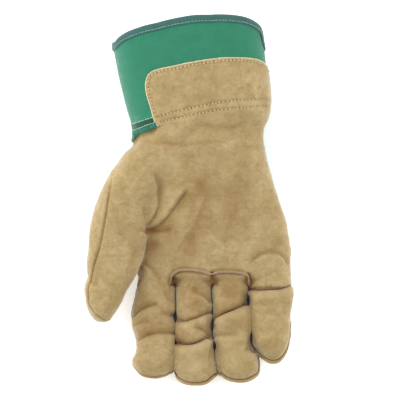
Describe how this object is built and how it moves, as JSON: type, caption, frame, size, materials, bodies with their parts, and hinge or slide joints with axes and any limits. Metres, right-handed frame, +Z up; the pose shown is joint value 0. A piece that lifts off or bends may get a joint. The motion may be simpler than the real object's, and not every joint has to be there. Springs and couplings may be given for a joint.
{
  "type": "work glove",
  "caption": "Right-hand work glove, palm up: split-leather palm, thumb and fingers, canvas back and flared safety cuff with a bound rim and a stitched leather wrist patch.",
  "frame": {"origin": "below the centre of the whole glove, on the surface it lies on", "axes": "+X from the thumb side to the little finger, +Y from the fingertips to the cuff, +Z up out of the palm"},
  "size_m": [0.1495, 0.2648, 0.059],
  "materials": {
    "palm_leather": "napped suede split",
    "back_canvas": "matte plain weave",
    "cuff_canvas": "matte plain weave, stiffened",
    "cotton_lining": "brushed cotton",
    "binding_tape": "folded bias tape",
    "elastic": "woven elastic",
    "welt": "smooth folded strip",
    "thread": "twisted sewing thread"
  },
  "bodies": {
    "palm": {"palm_leather": "palm_leather", "thumb_base_back": "palm_leather", "back_canvas": "back_canvas", "finger_roots_front": "palm_leather", "finger_base_welt": "welt", "palm_lining": "cotton_lining", "knuckle_strap": "palm_leather", "wrist_elastic": "elastic", "knuckle_strap_thread_low": "thread", "knuckle_strap_thread_high": "thread", "cuff_canvas": "cuff_canvas", "cuff_lining": "cotton_lining", "cuff_binding": "binding_tape", "wrist_patch": "palm_leather", "cuff_seam_thread_low": "thread", "cuff_seam_thread_high": "thread", "wrist_patch_thread": "thread"},
    "thumb": {"thumb_front": "palm_leather", "thumb_back": "palm_leather", "thumb_lining": "cotton_lining"},
    "index": {"index_front": "palm_leather", "index_back": "palm_leather", "index_lining": "cotton_lining"},
    "middle": {"middle_front": "palm_leather", "middle_back": "back_canvas", "middle_tip_cap": "palm_leather", "middle_tip_cap_thread": "thread", "middle_lining": "cotton_lining"},
    "ring": {"ring_front": "palm_leather", "ring_back": "back_canvas", "ring_tip_cap": "palm_leather", "ring_tip_cap_thread": "thread", "ring_lining": "cotton_lining"},
    "little": {"little_front": "palm_leather", "little_back": "back_canvas", "little_tip_cap": "palm_leather", "little_tip_cap_thread": "thread", "little_lining": "cotton_lining"}
  },
  "joints": [
    {"name": "index_knuckle", "type": "hinge", "parent": "palm", "child": "index", "pos_m": [-0.026, -0.062, 0.022], "axis": [-1, 0, 0], "range_deg": [0, 75]},
    {"name": "middle_knuckle", "type": "hinge", "parent": "palm", "child": "middle", "pos_m": [0.0031, -0.062, 0.022], "axis": [-1, 0, 0], "range_deg": [0, 75]},
    {"name": "ring_knuckle", "type": "hinge", "parent": "palm", "child": "ring", "pos_m": [0.0318, -0.062, 0.022], "axis": [-1, 0, 0], "range_deg": [0, 75]},
    {"name": "little_knuckle", "type": "hinge", "parent": "palm", "child": "little", "pos_m": [0.0602, -0.062, 0.022], "axis": [-1, 0, 0], "range_deg": [0, 75]},
    {"name": "thumb_knuckle", "type": "hinge", "parent": "palm", "child": "thumb", "pos_m": [-0.0544, -0.0314, 0.0365], "axis": [-0.9877, 0.1564, 0], "range_deg": [0, 55]}
  ]
}
